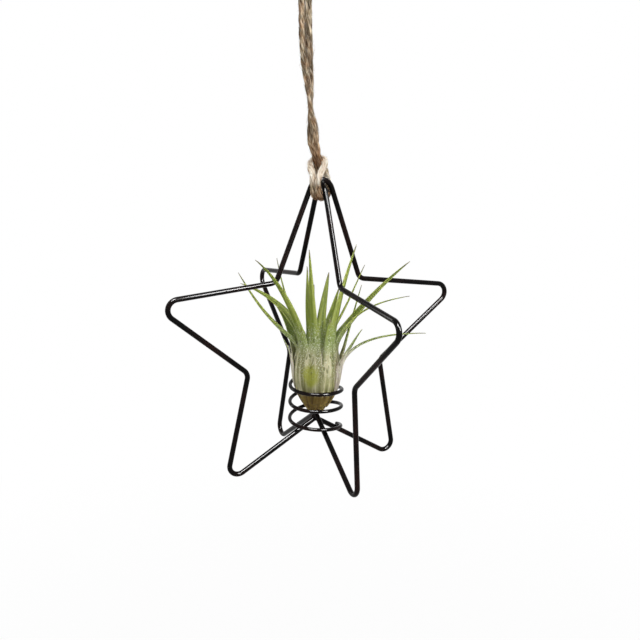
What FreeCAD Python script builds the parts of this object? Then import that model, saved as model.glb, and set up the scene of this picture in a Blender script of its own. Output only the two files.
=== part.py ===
import FreeCAD, Part
import Sketcher
import math
import os
from FreeCAD import Placement, Rotation, Vector

# Hanging air plant holder: two five-pointed star frames bent from round wire cross at right angles,
# a wire coil at the bottom notch seats the plant, and a doubled jute cord is hitched round the apex.
# Heights are measured from the plane in which the two frames touch at the notch. The part's origin is
# the crown of the hanging loop, hang_height above that plane and hang_offset to the left of the star axis.

# Driving dimensions, in millimetres and degrees
SIZES = [
    ("hang_height", 242.0, "notch plane up to the inside crown of the hanging loop"),
    ("hang_offset", 10.0, "how far the star axis stands to the +X side of the loop"),
    ("frame_wire", 2.5, "diameter of the star frames' wire"),
    ("coil_wire", 1.8, "diameter of the seat coil's wire"),
    ("weld_gap", 0.05, "gap between crossing wires before they are welded"),
    ("weld_bead", 2.1, "radius of the weld bead at a crossing"),
    ("tip_height", 108.3, "bend centre of the cross frame's apex"),
    ("cross_tip_bend", 5.0, "apex bend radius of the cross frame, at the wire's centre"),
    ("wide_tip_bend", 5.9, "apex bend radius of the wide frame"),
    ("shoulder_reach", 25.4, "bend centre of a shoulder, out from the star axis"),
    ("shoulder_height", 72.5, "bend centre of a shoulder, height"),
    ("shoulder_bend", 4.5, "shoulder bend radius"),
    ("arm_reach", 68.6, "bend centre of an arm's end, out from the star axis"),
    ("arm_height", 58.5, "bend centre of an arm's end, height"),
    ("arm_bend", 4.8, "arm bend radius"),
    ("waist_reach", 40.6, "bend centre of a waist, out from the star axis"),
    ("waist_height", 23.9, "bend centre of a waist, height"),
    ("waist_bend", 4.5, "waist bend radius"),
    ("waist_shift", 3.0, "how far both waists of the cross frame sit towards its front arm"),
    ("foot_reach", 40.5, "bend centre of a foot, out from the star axis"),
    ("foot_drop", 19.7, "bend centre of a foot, below the notch plane"),
    ("foot_bend", 4.4, "foot bend radius"),
    ("notch_bend", 2.6, "bend radius of the notch between the feet"),
    ("coil_radius", 12.8, "centre radius of the seat coil"),
    ("coil_top", 17.85, "height of the coil where it starts"),
    ("coil_pitch", 8.5, "drop of the coil in one turn"),
    ("coil_lean", 1.2, "how far the coil stands high on one side and low on the other"),
    ("coil_lean_side", 334.0, "azimuth of the coil's high side"),
    ("coil_start", 130.0, "azimuth where the coil starts"),
    ("coil_overrun", 6.0, "how far the coil runs past the leg it is welded to, in degrees"),
    ("coil_tail", 250.0, "angle over which the coil's tail bends down to the leg"),
    ("seat_gap", 0.15, "gap between the bulb and the notch wire under it"),
    ("bulb_foot", 3.8, "radius of the bulb's flat root end"),
    ("bulb_belly", 11.25, "largest radius of the bulb"),
    ("bulb_belly_height", 20.8, "root end up to the widest place"),
    ("bulb_neck", 9.4, "radius of the bulb's top, where the leaves part"),
    ("bulb_height", 31.5, "root end up to the bulb's top"),
    ("leaf_gap", 0.3, "gap between a leaf's foot and the bulb"),
    ("leaf_spread", 52.0, "reach of the longest leaf, out from the star axis"),
    ("leaf_crown", 84.0, "height of the tallest leaf tip above the notch plane"),
    ("leaf_width", 3.6, "width of a leaf at its foot"),
    ("leaf_thick", 1.1, "thickness of a leaf at its foot"),
    ("leaf_tip_width", 0.5, "width at a leaf's tip"),
    ("outer_ring_height", 26.5, "foot of the outer leaves, on the bulb's flank"),
    ("cord", 3.1, "diameter of the jute strand"),
    ("knot_radius", 5.4, "radius of the knot under the hanging loop"),
    ("knot_height", 212.0, "centre of that knot"),
    ("knot_gap", 0.25, "gap between the knot and the two strands that hang from it"),
    ("loop_width", 11.0, "width of the hanging loop, strand centre to centre"),
]

doc = FreeCAD.newDocument("air_plant_holder")
sheet = doc.addObject("Spreadsheet::Sheet", "Sizes")
for row, (alias, value, note) in enumerate(SIZES, start=1):
    sheet.set("A%d" % row, alias)
    sheet.set("B%d" % row, str(value))
    sheet.set("C%d" % row, note)
    sheet.setAlias("B%d" % row, alias)
doc.recompute()


def size(alias):
    """A driving dimension, read back from the sheet."""
    return float(sheet.get(alias))


AXIS = Vector(size("hang_offset"), 0, -size("hang_height"))
NODES = []


def keep(feature, name):
    """Give a sub-part its node's name and note it for the export."""
    feature.Label = name
    NODES.append(feature)
    return feature


def bind_to_axis(feature):
    """Stand a sub-part on the star axis, at the height of the notch plane."""
    feature.setExpression(".Placement.Base.x", "Sizes.hang_offset")
    feature.setExpression(".Placement.Base.z", "-Sizes.hang_height")


def solid_node(shape, name):
    """A sub-part whose shape is worked out here, standing on the star axis."""
    feature = doc.addObject("Part::Feature", name + "_shape")
    feature.Shape = shape
    feature.Placement = Placement(AXIS, Rotation())
    bind_to_axis(feature)
    return keep(feature, name)


def origin_plane(body, role):
    for plane in body.Origin.OriginFeatures:
        if plane.Role == role:
            return plane
    raise ValueError(role)


def new_sketch(body, name, role):
    sketch = body.newObject("Sketcher::SketchObject", name)
    sketch.AttachmentSupport = [(origin_plane(body, role), "")]
    sketch.MapMode = "FlatFace"
    return sketch


# Round sections are drawn as regular polygons with their corners on the circle, a flat facing each axis
WIRE_SIDES = 12
COIL_SIDES = 6
CORD_SIDES = 6
BULB_SIDES = 24


def polygon_corner(center, radius, step, sides):
    angle = 2 * math.pi * (step - 0.5) / sides
    return center + Vector(radius * math.cos(angle), radius * math.sin(angle), 0)


# Star frames

LEFT = 1
RIGHT = -1


def tangent_run(start, end):
    """The straight run between two bends, each given as (x, z, radius, side that the wire turns to)."""
    across = math.hypot(end[0] - start[0], end[1] - start[1])
    heading = math.atan2(end[1] - start[1], end[0] - start[0])
    heading -= math.asin((end[3] * end[2] - start[3] * start[2]) / across)
    normal = (-math.sin(heading), math.cos(heading))
    leave = (start[0] - start[3] * start[2] * normal[0], start[1] - start[3] * start[2] * normal[1])
    arrive = (end[0] - end[3] * end[2] * normal[0], end[1] - end[3] * end[2] * normal[1])
    return leave, arrive


def star_bends(tip_bend, tip_center, notch_center, waist_shift):
    """The ten bends of one frame, from the apex round by the left arm, with the names of their sizes."""
    shoulder = (size("shoulder_reach"), size("shoulder_height"), size("shoulder_bend"), RIGHT)
    arm = (size("arm_reach"), size("arm_height"), size("arm_bend"), LEFT)
    foot = (size("foot_reach"), -size("foot_drop"), size("foot_bend"), LEFT)
    waist_height = size("waist_height")
    waist_bend = size("waist_bend")
    left_waist = (waist_shift - size("waist_reach"), waist_height, waist_bend, RIGHT)
    right_waist = (waist_shift + size("waist_reach"), waist_height, waist_bend, RIGHT)

    def mirrored(bend):
        return (-bend[0],) + bend[1:]

    return [
        (0, tip_center, tip_bend, LEFT),
        mirrored(shoulder),
        mirrored(arm),
        left_waist,
        mirrored(foot),
        (0, notch_center, size("notch_bend"), RIGHT),
        foot,
        right_waist,
        arm,
        shoulder,
    ]


def bend_angle(bend, point):
    return math.atan2(point[1] - bend[1], point[0] - bend[0])


def add_bend(sketch, bend, first, last):
    """One bend of the path as an arc, from the point first to the point last along the path."""
    circle = Part.Circle(Vector(bend[0], bend[1], 0), Vector(0, 0, 1), bend[2])
    begin, finish = (first, last) if bend[3] == LEFT else (last, first)
    low = bend_angle(bend, begin)
    high = bend_angle(bend, finish)
    if high <= low:
        high += 2 * math.pi
    return sketch.addGeometry(Part.ArcOfCircle(circle, low, high), False)


def star_frame(name, bends, expressions, tip_expression):
    """A closed wire star: a path of ten bends and ten straight runs, with the wire's round section on it."""
    body = doc.addObject("PartDesign::Body", name + "_body")
    path = new_sketch(body, name + "_path", "XZ_Plane")
    count = len(bends)
    runs = [tangent_run(bends[i], bends[(i + 1) % count]) for i in range(count)]
    tip = bends[0]
    apex = (0, tip[1] + tip[2])
    rising = add_bend(path, tip, apex, runs[0][0])
    arcs = []
    lines = []
    for i in range(count):
        leave, arrive = runs[i]
        run = Part.LineSegment(Vector(leave[0], leave[1], 0), Vector(arrive[0], arrive[1], 0))
        lines.append(path.addGeometry(run, False))
        if i + 1 < count:
            arcs.append(add_bend(path, bends[i + 1], arrive, runs[i + 1][0]))
    falling = add_bend(path, tip, runs[-1][1], apex)

    def ends(arc, bend):
        """The vertex numbers where the path comes into an arc and leaves it."""
        return (1, 2) if bend[3] == LEFT else (2, 1)

    rules = []
    before = rising
    before_out = 2
    for i in range(count):
        rules.append(Sketcher.Constraint("Tangent", before, before_out, lines[i], 1))
        if i + 1 < count:
            arrive_end, leave_end = ends(arcs[i], bends[i + 1])
            rules.append(Sketcher.Constraint("Tangent", lines[i], 2, arcs[i], arrive_end))
            before = arcs[i]
            before_out = leave_end
    rules.append(Sketcher.Constraint("Tangent", lines[-1], 2, falling, 1))
    rules.append(Sketcher.Constraint("Coincident", rising, 3, falling, 3))
    rules.append(Sketcher.Constraint("Coincident", rising, 1, falling, 2))
    rules.append(Sketcher.Constraint("PointOnObject", rising, 1, -2))
    path.addConstraint(rules)

    def drive(kind, arc, value, text):
        """A dimension of a bend, bound to the sheet."""
        if kind == "Radius":
            index = path.addConstraint(Sketcher.Constraint("Radius", arc, value))
        else:
            index = path.addConstraint(Sketcher.Constraint(kind, -1, 1, arc, 3, value))
        path.setExpression("Constraints[%d]" % index, text)

    path.addConstraint(Sketcher.Constraint("PointOnObject", rising, 3, -2))
    drive("DistanceY", rising, tip[1], expressions[0][1])
    drive("Radius", rising, tip[2], tip_expression)
    for arc, bend, texts in zip(arcs, bends[1:], expressions[1:]):
        if texts[0] is None:
            path.addConstraint(Sketcher.Constraint("PointOnObject", arc, 3, -2))
        else:
            drive("DistanceX", arc, bend[0], texts[0])
        drive("DistanceY", arc, bend[1], texts[1])
        drive("Radius", arc, bend[2], texts[2])

    section = new_sketch(body, name + "_section", "YZ_Plane")
    middle = Vector(0, apex[1], 0)
    ring = section.addGeometry(Part.Circle(middle, Vector(0, 0, 1), size("frame_wire") / 2), True)
    sides = []
    for i in range(WIRE_SIDES):
        ends_of_side = [polygon_corner(middle, size("frame_wire") / 2, i + step, WIRE_SIDES) for step in (0, 1)]
        sides.append(section.addGeometry(Part.LineSegment(*ends_of_side), False))
    shape_rules = [Sketcher.Constraint("PointOnObject", ring, 3, -2), Sketcher.Constraint("Vertical", sides[0])]
    for i, side in enumerate(sides):
        shape_rules.append(Sketcher.Constraint("Coincident", side, 2, sides[(i + 1) % WIRE_SIDES], 1))
        shape_rules.append(Sketcher.Constraint("PointOnObject", side, 1, ring))
        if i:
            shape_rules.append(Sketcher.Constraint("Equal", sides[0], side))
    section.addConstraint(shape_rules)
    rise = section.addConstraint(Sketcher.Constraint("DistanceY", -1, 1, ring, 3, apex[1]))
    section.setExpression("Constraints[%d]" % rise, expressions[0][1] + " + " + tip_expression)
    thick = section.addConstraint(Sketcher.Constraint("Diameter", ring, size("frame_wire")))
    section.setExpression("Constraints[%d]" % thick, "Sizes.frame_wire")
    doc.recompute()

    wire = body.newObject("PartDesign::AdditivePipe", name + "_wire")
    wire.Profile = section
    wire.Spine = (path, [])
    wire.Transition = "Transformed"
    body.Tip = wire
    bind_to_axis(body)
    return keep(body, name)


def bend_texts(tip_center, notch_center, shift):
    """The sheet expressions for each bend's centre and radius, in the order of star_bends."""
    def at(place, side):
        reach = "Sizes.%s_reach" % place
        height = "-Sizes.foot_drop" if place == "foot" else "Sizes.%s_height" % place
        if side < 0:
            reach = "-" + reach
        if place == "waist" and shift:
            reach = "%s + %s" % (reach, shift)
        return (reach, height, "Sizes.%s_bend" % place)

    left = [at(place, -1) for place in ("shoulder", "arm", "waist", "foot")]
    right = [at(place, 1) for place in ("foot", "waist", "arm", "shoulder")]
    return [(None, tip_center, None)] + left + [(None, notch_center, "Sizes.notch_bend")] + right


half_wire = size("frame_wire") / 2
touch = half_wire + size("weld_gap") / 2
cross_apex = size("tip_height") + size("cross_tip_bend")
wide_apex = cross_apex + size("frame_wire") + size("weld_gap")
touch_text = "(Sizes.frame_wire + Sizes.weld_gap) / 2"
cross_tip_text = "Sizes.tip_height"
wide_tip_text = (
    "Sizes.tip_height + Sizes.cross_tip_bend + Sizes.frame_wire + Sizes.weld_gap - Sizes.wide_tip_bend"
)

wide_bends = star_bends(
    size("wide_tip_bend"), wide_apex - size("wide_tip_bend"), -touch - size("notch_bend"), 0
)
wide_texts = bend_texts(wide_tip_text, "-%s - Sizes.notch_bend" % touch_text, None)
wide_frame = star_frame("star_frame_wide", wide_bends, wide_texts, "Sizes.wide_tip_bend")

cross_bends = star_bends(
    size("cross_tip_bend"), size("tip_height"), touch - size("notch_bend"), size("waist_shift")
)
cross_texts = bend_texts(cross_tip_text, "%s - Sizes.notch_bend" % touch_text, "Sizes.waist_shift")
cross_frame = star_frame("star_frame_cross", cross_bends, cross_texts, "Sizes.cross_tip_bend")
cross_frame.Placement = Placement(AXIS, Rotation(Vector(0, 0, 1), -90))
bind_to_axis(cross_frame)
doc.recompute()


# Wires and cords along a path

def arc_between(start, heading, end):
    """The arc that leaves start along heading and ends at end."""
    chord = end - start
    along = Vector(chord).normalize()
    lift = heading - along * heading.dot(along)
    if lift.Length < 1e-9:
        return Part.LineSegment(start, end)
    half_turn = along.getAngle(heading)
    crown = (start + end) / 2 + lift.normalize() * (chord.Length / 2 * math.tan(half_turn / 2))
    return Part.Arc(start, crown, end)


def biarc(start, heading, end, end_heading):
    """Two arcs that share a tangent and join two headed points."""
    chord = end - start
    both = heading + end_heading
    spare = 2 * (1 - heading.dot(end_heading))
    root = math.sqrt(chord.dot(both) ** 2 + spare * chord.dot(chord))
    reach = (root - chord.dot(both)) / spare
    joint = (start + end + (heading - end_heading) * reach) / 2
    joint_heading = (end - joint).normalize()
    first = arc_between(start, heading, joint)
    joint_heading = first.tangent(first.LastParameter)[0]
    return [first, arc_between(joint, Vector(joint_heading).normalize(), end)]


def round_corners(points):
    """Straight runs joined by tangent arcs, each as large as its two runs allow."""
    edges = []
    radii = []
    here = points[0]
    for before, corner, after in zip(points, points[1:], points[2:]):
        into = (corner - before).normalize()
        out = (after - corner).normalize()
        shorter = min((corner - before).Length, (after - corner).Length)
        trim = 0.45 * shorter
        radii.append(trim / math.tan(into.getAngle(out) / 2))
        start = corner - into * trim
        end = corner + out * trim
        edges.append(Part.LineSegment(here, start))
        edges.append(arc_between(start, into, end))
        here = end
    edges.append(Part.LineSegment(here, points[-1]))
    return edges, radii


def section_ring(center, heading, radius, sides):
    """A regular polygon square to heading."""
    turn = Rotation(Vector(0, 0, 1), heading)
    origin = Vector(0, 0, 0)
    corners = [turn.multVec(polygon_corner(origin, radius, i, sides)) + center for i in range(sides + 1)]
    return Part.makePolygon(corners)


def swept(edges, diameter, sides):
    """A solid of one section along a tangent path."""
    wire = Part.Wire([edge.toShape() for edge in edges])
    first = edges[0]
    start = first.value(first.FirstParameter)
    heading = Vector(*first.tangent(first.FirstParameter)[0])
    section = section_ring(start, heading, diameter / 2, sides)
    maker = Part.BRepOffsetAPI.MakePipeShell(wire)
    maker.add(section)
    maker.build()
    maker.makeSolid()
    solid = maker.shape()
    expected = Part.Face(section).Area * wire.Length
    print("swept length %.1f volume share %.4f" % (wire.Length, solid.Volume / expected))
    return solid


def faceted(rings, flat):
    """A solid with flat facets between rings of corners, closed by a face at each end.

    Four corners that aren't in one plane are joined by two triangles, where flat is false.
    """
    faces = [Part.Face(Part.makePolygon(ring + ring[:1])) for ring in (rings[0], rings[-1])]
    count = len(rings[0])
    for low, high in zip(rings, rings[1:]):
        for i in range(count):
            j = (i + 1) % count
            if flat:
                panes = [[low[i], low[j], high[j], high[i]]]
            else:
                panes = [[low[i], low[j], high[j]], [low[i], high[j], high[i]]]
            faces += [Part.Face(Part.makePolygon(pane + pane[:1])) for pane in panes]
    solid = Part.Solid(Part.Shell(faces))
    if solid.Volume < 0:
        solid.reverse()
    return solid


def turned(profile, sides, center=Vector(0, 0, 0), lean=Rotation()):
    """A turned form with flat facets, from its outline as rings of (radius, height)."""
    rings = []
    for radius, height in profile:
        middle = Vector(0, 0, height)
        corners = [polygon_corner(middle, radius, i, sides) for i in range(sides)]
        rings.append([lean.multVec(corner) + center for corner in corners])
    return faceted(rings, True)


def least_self_gap(wire, diameter, apart):
    """The least gap between parts of a path that lie at least apart along it."""
    points = wire.discretize(Number=int(wire.Length / diameter * 2))
    step = wire.Length / (len(points) - 1)
    skip = int(apart / step) + 1
    least = min(
        points[i].distanceToPoint(points[j])
        for i in range(len(points))
        for j in range(i + skip, len(points))
    )
    return least - diameter


# Seat coil

def leg_top(bends, reach):
    """The wire centre's height on a frame's inner right leg, and the leg's slope."""
    leave, arrive = tangent_run(bends[5], bends[6])
    slope = (arrive[1] - leave[1]) / (arrive[0] - leave[0])
    return leave[1] + slope * (reach - leave[0]), slope


coil_radius = size("coil_radius")
coil_start = math.radians(size("coil_start"))
FULL_TURN = 2 * math.pi
welded_at = 3 * FULL_TURN
coil_end = welded_at + math.radians(size("coil_overrun"))
tail_start = welded_at - math.radians(size("coil_tail"))
lean_side = math.radians(size("coil_lean_side"))


def even_height(angle):
    drop = size("coil_pitch") * (angle - coil_start) / FULL_TURN
    return size("coil_top") - drop + size("coil_lean") * math.cos(angle - lean_side)


leg_height, leg_slope = leg_top(wide_bends, coil_radius)
rest_gap = (size("frame_wire") + size("coil_wire")) / 2 + size("weld_gap")
rest_height = leg_height + rest_gap * math.hypot(1, leg_slope)
tail_drop = even_height(welded_at) - rest_height


def coil_point(angle):
    """A point of the coil's centre line: it falls evenly, then its tail bends down to the leg."""
    height = even_height(angle)
    tail = (angle - tail_start) / (welded_at - tail_start)
    if tail > 0:
        height -= tail_drop * tail ** 2
    return Vector(coil_radius * math.cos(angle), coil_radius * math.sin(angle), height)


def coil_heading(angle):
    nudge = 1e-4
    return (coil_point(angle + nudge) - coil_point(angle - nudge)).normalize()


coil_steps = math.ceil((coil_end - coil_start) / (FULL_TURN / 4))
coil_edges = []
for i in range(coil_steps):
    first = coil_start + (coil_end - coil_start) * i / coil_steps
    last = coil_start + (coil_end - coil_start) * (i + 1) / coil_steps
    coil_edges += biarc(coil_point(first), coil_heading(first), coil_point(last), coil_heading(last))
coil_path = Part.Wire([edge.toShape() for edge in coil_edges])
coil_apart = math.pi * coil_radius
print("coil least self-gap %.2f" % least_self_gap(coil_path, size("coil_wire"), coil_apart))
solid_node(swept(coil_edges, size("coil_wire"), COIL_SIDES), "plant_coil")


# Weld beads

def frame_shape(body):
    """A frame's solid as it stands round the star axis."""
    shape = body.Shape.copy()
    shape.translate(-AXIS)
    return shape


WELD_SIDES = 8
WELD_WAIST_SHARE = 0.6
WELD_BAND_SHARE = 0.5


def weld(center, *wires):
    """A bead round a crossing, cut to the wires that it joins."""
    radius = size("weld_bead")
    end = radius * WELD_WAIST_SHARE
    band = radius * WELD_BAND_SHARE
    bead = turned([(end, -radius), (radius, -band), (radius, band), (end, radius)], WELD_SIDES, center)
    for wire in wires:
        bead = bead.cut(wire)
    return bead


wide_shape = frame_shape(wide_frame)
cross_shape = frame_shape(cross_frame)
coil_shape = NODES[-1].Shape.copy()
coil_shape.translate(-AXIS)
solid_node(weld(Vector(0, 0, 0), wide_shape, cross_shape), "notch_weld")
apex_middle = (cross_apex + wide_apex) / 2
solid_node(weld(Vector(0, 0, apex_middle), wide_shape, cross_shape), "apex_weld")
coil_touch = Vector(coil_radius, 0, (leg_height + rest_height) / 2)
solid_node(weld(coil_touch, wide_shape, coil_shape), "coil_weld")


# Plant

bulb_bottom = touch + half_wire + size("seat_gap")


BULB_BAND_SHARES = [0.0, 0.15, 0.35, 0.6, 1.0]
SHOULDER_BAND_SHARES = [0.5, 1.0]


def bulb_profile():
    """The bulb's outline: a flank that swells from the root end to the belly, then draws in to the neck."""
    belly = size("bulb_belly")
    belly_height = bulb_bottom + size("bulb_belly_height")

    def bow(end_radius, rise):
        """Radius of the arc that is upright at the belly and ends at end_radius."""
        drawn_in = belly - end_radius
        return (drawn_in ** 2 + rise ** 2) / (2 * drawn_in)

    def ring(flank, from_belly):
        return belly - flank + math.sqrt(flank ** 2 - from_belly ** 2), belly_height + from_belly

    below = size("bulb_belly_height")
    above = size("bulb_height") - below
    lower = bow(size("bulb_foot"), below)
    upper = bow(size("bulb_neck"), above)
    rings = [ring(lower, -below * (1 - share)) for share in BULB_BAND_SHARES]
    rings += [ring(upper, above * share) for share in SHOULDER_BAND_SHARES]
    return rings


solid_node(turned(bulb_profile(), BULB_SIDES), "plant_bulb")
doc.recompute()

# Leaves. Each row is one leaf: azimuth of its foot on the ring, azimuth of its tip, how far the tip
# reaches and how high it stands as shares of leaf_spread and leaf_crown, how strongly it arches and
# its width as a share of leaf_width.
OUTER_LEAF_SHARES = [
    (318, 318, 1.00, 0.56, 0.45, 1.00),
    (288, 302, 0.48, 0.57, 0.05, 1.15),
    (256, 262, 0.26, 0.60, 0.05, 0.90),
    (163, 158, 0.30, 0.47, 0.05, 1.00),
    (122, 112, 0.62, 0.62, 0.25, 1.00),
    (68, 60, 0.80, 0.55, 0.35, 1.00),
    (22, 28, 0.62, 0.60, 0.25, 1.00),
]
MIDDLE_LEAF_SHARES = [
    (150, 150, 0.76, 0.84, 0.02, 0.95),
    (191, 200, 0.79, 0.97, 0.18, 1.00),
    (124, 130, 0.82, 0.75, 0.30, 0.95),
    (226, 222, 0.29, 1.00, 0.00, 0.90),
    (350, 345, 0.87, 0.91, 0.08, 1.00),
    (322, 326, 0.83, 0.75, 0.28, 0.90),
    (289, 300, 0.20, 0.85, 0.00, 1.00),
    (257, 245, 0.16, 0.78, 0.00, 0.90),
    (20, 17, 0.42, 0.99, 0.04, 0.95),
    (53, 48, 0.72, 0.80, 0.15, 0.95),
    (88, 74, 0.50, 0.92, 0.08, 0.95),
]
INNER_LEAF_SHARES = [
    (140, 146, 0.42, 0.93, -0.20, 0.85),
    (212, 180, 0.12, 0.80, 0.00, 0.80),
    (338, 335, 0.43, 0.91, -0.02, 0.85),
    (52, 60, 0.22, 0.86, 0.00, 0.80),
    (275, 300, 0.06, 0.72, 0.00, 0.80),
]
LEAF_STATION_SHARES = [0.0, 0.2, 0.45, 0.72, 1.0]
# A leaf's section: its edges, its keel and the bottom of its channel, as shares of its thickness
LEAF_EDGE_SHARE = 0.35
LEAF_KEEL_SHARE = 0.5
LEAF_CHANNEL_SHARE = 0.2


def around(azimuth, reach, height):
    angle = math.radians(azimuth)
    return Vector(reach * math.cos(angle), reach * math.sin(angle), height)


def leaf(foot_azimuth, tip_azimuth, reach_share, height_share, arch, width_share, ring, base):
    """A channelled leaf: V-shaped sections along a bow from the foot to the tip."""
    foot = around(foot_azimuth, ring, base)
    tip = around(tip_azimuth, reach_share * size("leaf_spread"), height_share * size("leaf_crown"))
    rise = tip.z - foot.z
    out = 0.5 - arch
    elbow = Vector(foot.x + (tip.x - foot.x) * out, foot.y + (tip.y - foot.y) * out, foot.z + rise * (1 - out))
    middle_azimuth = math.radians((foot_azimuth + tip_azimuth) / 2)
    outward = Vector(math.cos(middle_azimuth), math.sin(middle_azimuth), 0)
    side = Vector(0, 0, 1).cross(outward)
    sections = []
    for along in LEAF_STATION_SHARES:
        back = 1 - along
        center = foot * back ** 2 + elbow * (2 * back * along) + tip * along ** 2
        heading = ((elbow - foot) * back + (tip - elbow) * along).normalize()
        across = (side - heading * side.dot(heading)).normalize()
        up = heading.cross(across)
        slim = math.sqrt(back)
        half = size("leaf_tip_width") / 2 + (size("leaf_width") * width_share - size("leaf_tip_width")) / 2 * slim
        thick = size("leaf_tip_width") / 2 + (size("leaf_thick") - size("leaf_tip_width") / 2) * slim
        corners = [
            center - across * half + up * (thick * LEAF_EDGE_SHARE),
            center - up * (thick * LEAF_KEEL_SHARE),
            center + across * half + up * (thick * LEAF_EDGE_SHARE),
            center + up * (thick * LEAF_CHANNEL_SHARE),
        ]
        sections.append(corners)
    return faceted(sections, False)


def leaf_ring(rows, name, ring, base):
    leaves = [leaf(*row, ring, base) for row in rows]
    solid_node(Part.makeCompound(leaves), name)


neck_height = bulb_bottom + size("bulb_height")
leaf_foot = neck_height + size("leaf_gap") + size("leaf_thick") / 2
outer_ring = size("bulb_belly") + size("leaf_gap") + size("leaf_thick") / 2
leaf_ring(OUTER_LEAF_SHARES, "outer_leaves", outer_ring, size("outer_ring_height"))
leaf_ring(MIDDLE_LEAF_SHARES, "middle_leaves", size("bulb_neck") - size("leaf_thick"), leaf_foot)
leaf_ring(INNER_LEAF_SHARES, "inner_leaves", size("bulb_neck") / 3, leaf_foot)


# Cord. Its points are hand-chosen routes, written from the star axis at the notch plane: x to the right
# along the wide frame, y along the cross frame, z up.
HITCH_ROUTE = [
    (-4.9, 1.2, 132.0),
    (-4.8, 1.3, 128.6),
    (-3.2, 2.0, 124.6),
    (-0.4, 3.8, 121.6),
    (2.4, 5.6, 117.0),
    (3.6, 6.1, 110.6),
    (2.6, 4.0, 106.6),
    (-4.0, -1.1, 107.3),
    (-5.7, -3.7, 111.0),
    (-7.3, -2.7, 117.6),
    (-8.4, 0.4, 122.0),
    (-6.8, 4.2, 125.3),
    (-2.8, 5.8, 128.0),
    (2.9, 0.1, 128.0),
    (1.4, -4.0, 125.4),
    (-1.5, -6.6, 122.0),
    (-3.9, -6.2, 117.6),
    (-3.6, -6.1, 110.6),
    (-2.6, -4.0, 106.6),
    (4.2, 1.2, 107.0),
    (5.8, 3.8, 110.9),
    (4.8, 3.2, 117.0),
    (1.7, 1.4, 121.6),
    (-0.8, -0.4, 124.6),
    (-2.4, -1.2, 128.6),
    (-2.5, -1.2, 132.0),
]
LEFT_LEG_ROUTE = [
    (-2.5, -1.2, 132.3),
    (-2.5, -1.2, 135.4),
    (-3.7, -1.5, 140.0),
    (-5.5, -1.7, 146.0),
    (-7.5, -1.6, 153.0),
    (-9.2, -0.9, 160.0),
    (-10.3, 0.0, 167.5),
    (-11.1, 0.7, 176.0),
    (-11.5, 0.9, 188.0),
    (-11.6, 0.9, 202.0),
    (-11.6, 0.9, 206.4),
]
RIGHT_LEG_ROUTE = [
    (-4.9, 1.2, 132.3),
    (-4.9, 1.2, 135.4),
    (-5.7, 1.5, 140.0),
    (-5.9, 1.7, 146.0),
    (-5.9, 1.6, 153.0),
    (-6.2, 0.9, 160.0),
    (-6.8, 0.0, 167.5),
    (-7.7, -0.7, 176.0),
    (-8.2, -0.9, 188.0),
    (-8.4, -0.9, 202.0),
    (-8.4, -0.9, 206.4),
]


def cord_tube(points, name):
    edges, radii = round_corners([Vector(*point) for point in points])
    print(name, "radii", " ".join("%.1f" % radius for radius in radii))
    return swept(edges, size("cord"), CORD_SIDES)


solid_node(cord_tube(HITCH_ROUTE, "apex_hitch"), "apex_hitch")
solid_node(cord_tube(LEFT_LEG_ROUTE, "rope_leg_left"), "rope_leg_left")
solid_node(cord_tube(RIGHT_LEG_ROUTE, "rope_leg_right"), "rope_leg_right")


KNOT_CORE_SHARES = [(0.35, -0.92), (0.75, -0.6), (0.9, 0.0), (0.75, 0.6), (0.35, 0.92)]
KNOT_SIDES = 12
KNOT_WRAPS = [(20.0, -0.33), (-26.0, 0.28)]
knot_center = Vector(-size("hang_offset"), 0, size("knot_height"))


def knot_shape():
    """The knot: a core with two slanted wraps of the strand round it."""
    reach = size("knot_radius")
    core = [(radius * reach, height * reach) for radius, height in KNOT_CORE_SHARES]
    knot = turned(core, KNOT_SIDES, knot_center)
    half = size("cord") / 2
    for slant, height_share in KNOT_WRAPS:
        lift = Vector(0, 0, height_share * reach)
        outer = math.sqrt(reach ** 2 - lift.z ** 2)
        band = [(outer - half, -half), (outer, -half / 2), (outer, half / 2), (outer - half, half)]
        lean = Rotation(Vector(0, 1, 0), slant)
        knot = knot.fuse(turned(band, KNOT_SIDES, knot_center + lift, lean))
    return knot


solid_node(knot_shape(), "top_knot")

loop_half = size("loop_width") / 2
loop_base = size("knot_height") + size("knot_radius") + size("knot_gap")
loop_crown = size("hang_height") + size("cord") / 2
loop_spring = loop_crown - loop_half
left_foot = knot_center + Vector(-size("cord") / 2 - size("knot_gap"), 0, loop_base - size("knot_height"))
right_foot = knot_center + Vector(size("cord") / 2 + size("knot_gap"), 0, loop_base - size("knot_height"))
loop_middle = (loop_base + loop_spring) / 2
crown_left = knot_center + Vector(-loop_half, 0, loop_spring - size("knot_height"))
crown_right = knot_center + Vector(loop_half, 0, loop_spring - size("knot_height"))
crown_top = knot_center + Vector(0, 0, loop_crown - size("knot_height"))
left_bend = knot_center + Vector(-loop_half, 0, loop_middle - size("knot_height"))
right_bend = knot_center + Vector(loop_half, 0, loop_middle - size("knot_height"))
left_edges, left_radii = round_corners([left_foot, left_bend, crown_left])
right_edges, right_radii = round_corners([crown_right, right_bend, right_foot])
loop_edges = left_edges + [Part.Arc(crown_left, crown_top, crown_right)] + right_edges
solid_node(swept(loop_edges, size("cord"), CORD_SIDES), "hang_loop")

# Checks and files

doc.recompute()
for item in doc.Objects:
    if "Invalid" in item.State or "Error" in item.State:
        raise RuntimeError("%s failed: %s" % (item.Label, item.State))

os.makedirs("parts", exist_ok=True)
for node in NODES:
    shape = node.Shape
    if shape.isNull() or not shape.isValid():
        raise RuntimeError("bad shape: " + node.Label)
    print("%-18s solids %2d volume %9.2f" % (node.Label, len(shape.Solids), shape.Volume))
    shape.exportStep("parts/%s.step" % node.Label)
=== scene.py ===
import random
from collections import namedtuple
from math import asin, atan2, cos, exp, hypot, pi, radians, sin, sqrt

import bpy
from mathutils import Matrix, Quaternion, Vector, noise


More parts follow.
